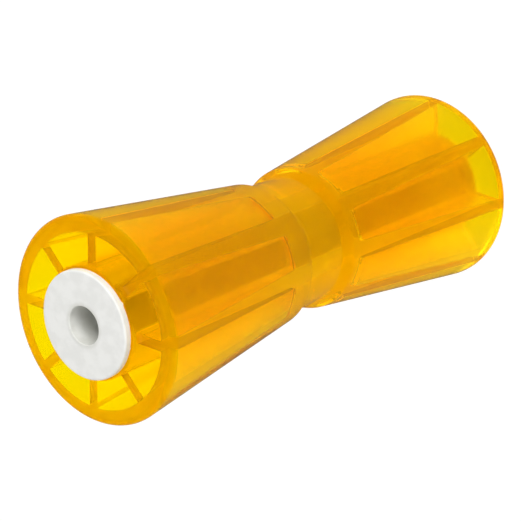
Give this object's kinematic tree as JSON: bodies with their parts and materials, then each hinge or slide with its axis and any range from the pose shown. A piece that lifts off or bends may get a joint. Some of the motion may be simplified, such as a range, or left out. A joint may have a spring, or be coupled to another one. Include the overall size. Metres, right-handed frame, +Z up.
{
  "type": "boat trailer roller",
  "caption": "Bow-tie keel roller for a boat trailer: amber moulded body with ribbed, hollow ends and a narrow waist, and a white flanged bush pressed into each end.",
  "frame": {"origin": "centre of the lower bush's outer face, on the roller's axis, where it stands", "axes": "+Z up along the roller's axis, from the lower end to the upper end; +X through the middle of a pocket between two ribs"},
  "size_m": [0.0884, 0.0884, 0.2386],
  "materials": {
    "amber": "clear amber moulded plastic, glossy, slightly cloudy",
    "white": "moulded white nylon, satin, faintly mottled"
  },
  "bodies": {
    "root": {"roller_body": "amber", "lower_bush": "white", "upper_bush": "white"}
  },
  "joints": []
}
